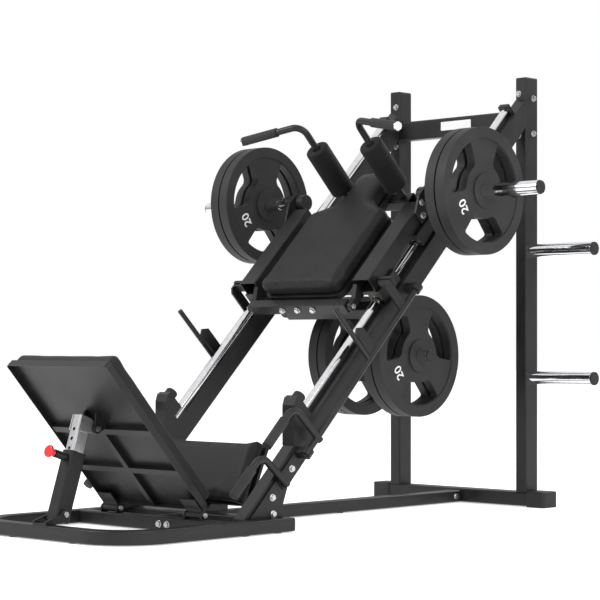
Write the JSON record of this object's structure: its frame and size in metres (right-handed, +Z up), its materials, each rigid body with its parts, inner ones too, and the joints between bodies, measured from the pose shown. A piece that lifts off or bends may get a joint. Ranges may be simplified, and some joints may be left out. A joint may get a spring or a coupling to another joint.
{
  "type": "leg press machine",
  "caption": "Plate-loaded 45 degree leg press and hack squat: sloping rails, sliding carriage with back pad and shoulder rollers, tilting foot board, plates on sleeves.",
  "frame": {"origin": "on the floor under the centre of the machine's outline", "axes": "+Z up, -Y towards the foot board at the machine's front, +X to the side of the machine that is on the right when it is looked at from the front"},
  "size_m": [1.654, 2.1606, 1.633],
  "materials": {
    "black_coat": "satin",
    "chrome": "polished",
    "silver_steel": "satin",
    "zinc_bolts": "satin",
    "bronze_liner": "satin",
    "pad_vinyl": "matt",
    "roller_foam": "matt",
    "grip_rubber": "matt",
    "bumper_rubber": "matt",
    "plate_coat": "satin",
    "black_plastic": "matt",
    "red_plastic": "gloss",
    "white_badge": "gloss"
  },
  "bodies": {
    "frame": {"base_loop": "black_coat", "base_cross_front": "black_coat", "base_cross_middle": "black_coat", "base_spine": "black_coat", "rear_cross_tube": "black_coat", "rear_foot_caps": "black_plastic", "floor_glides": "black_plastic", "uprights": "black_coat", "tube_end_caps": "black_plastic", "top_crossbeam": "black_coat", "badge_plate": "white_badge", "storage_pegs": "chrome", "peg_caps": "black_plastic", "rails": "black_coat", "rail_foot_plates": "black_coat", "guide_rods": "chrome", "rod_clamps": "black_coat", "stop_blocks": "black_coat", "stop_bumpers": "bumper_rubber", "seat_pad": "pad_vinyl", "seat_frame": "black_coat", "seat_handles": "black_coat", "seat_handle_grips": "grip_rubber", "lever_bearings": "black_coat", "base_brackets": "black_coat", "base_pins": "zinc_bolts", "frame_bolts": "zinc_bolts"},
    "carriage": {"carriage_sides": "black_coat", "bearing_housings": "black_coat", "rod_bearings": "bronze_liner", "carriage_crossbars": "black_coat", "sleeve_brackets": "black_coat", "weight_sleeves": "chrome", "lower_hanger": "black_coat", "sleeve_caps": "black_plastic", "shoulder_handles": "black_coat", "shoulder_rollers": "roller_foam", "handle_grips": "grip_rubber", "handle_end_caps": "chrome", "carriage_bolts": "zinc_bolts"},
    "back_pad": {"back_pad": "pad_vinyl", "back_pad_board": "black_coat", "pad_bolts": "zinc_bolts"},
    "catch_left": {"catch_lever_left": "black_coat", "lever_grip_left": "grip_rubber"},
    "catch_right": {"catch_lever_right": "black_coat", "lever_grip_right": "grip_rubber"},
    "foot_board": {"board_tray": "black_coat", "board_pad": "pad_vinyl", "board_pivot_bolt": "zinc_bolts"},
    "strut_sleeve": {"strut_outer": "black_coat", "pin_barrel": "black_coat"},
    "strut_rod": {"strut_inner": "silver_steel"},
    "pull_pin": {"pull_pin": "chrome", "pull_knob": "red_plastic"},
    "upper_plates_left": {"upper_plates_left": "plate_coat"},
    "upper_plates_right": {"upper_plates_right": "plate_coat"},
    "lower_plates_left": {"lower_plates_left": "plate_coat"},
    "lower_plates_right": {"lower_plates_right": "plate_coat"}
  },
  "joints": [
    {"name": "carriage_slide", "type": "slide", "parent": "frame", "child": "carriage", "axis": [0, 0.7071, 0.7071], "range_m": [0, 0.5]},
    {"name": "back_pad_flip", "type": "hinge", "parent": "carriage", "child": "back_pad", "pos_m": [0, 0.11684, 0.75165], "axis": [1, 0, 0], "range_deg": [0, 90]},
    {"name": "catch_left_turn", "type": "hinge", "parent": "frame", "child": "catch_left", "pos_m": [-0.385, 0.02279, 0.53033], "axis": [0, -0.7071, -0.7071], "range_deg": [0, 60]},
    {"name": "catch_right_turn", "type": "hinge", "parent": "frame", "child": "catch_right", "pos_m": [0.385, 0.02279, 0.53033], "axis": [0, 0.7071, 0.7071], "range_deg": [0, 60]},
    {"name": "board_tilt", "type": "hinge", "parent": "frame", "child": "foot_board", "pos_m": [0, -0.59325, 0.062], "axis": [-1, 0, 0], "range_deg": [-9.8, 5]},
    {"name": "strut_swing", "type": "hinge", "parent": "frame", "child": "strut_sleeve", "pos_m": [0, -0.99325, 0.078], "axis": [-1, 0, 0], "range_deg": [-6.6, 3.5]},
    {"name": "strut_slide", "type": "slide", "parent": "strut_sleeve", "child": "strut_rod", "axis": [0, 0.309, 0.9511], "range_m": [-0.0645, 0.0335]},
    {"name": "pull_pin_slide", "type": "slide", "parent": "strut_sleeve", "child": "pull_pin", "axis": [0, -0.9511, 0.309], "range_m": [0, 0.014], "stiffness_N_per_m": 600, "springref_m": -0.006},
    {"name": "upper_plates_left_slide", "type": "slide", "parent": "carriage", "child": "upper_plates_left", "axis": [-1, 0, 0], "range_m": [0, 0.23]},
    {"name": "upper_plates_right_slide", "type": "slide", "parent": "carriage", "child": "upper_plates_right", "axis": [1, 0, 0], "range_m": [0, 0.23]},
    {"name": "lower_plates_left_slide", "type": "slide", "parent": "carriage", "child": "lower_plates_left", "axis": [-1, 0, 0], "range_m": [0, 0.04]},
    {"name": "lower_plates_right_slide", "type": "slide", "parent": "carriage", "child": "lower_plates_right", "axis": [1, 0, 0], "range_m": [0, 0.04]}
  ],
  "couplings": [
    {"joint": "strut_swing", "follows": "board_tilt", "ratio": 0.655},
    {"joint": "strut_slide", "follows": "board_tilt", "m_per_rad": 0.3729}
  ]
}
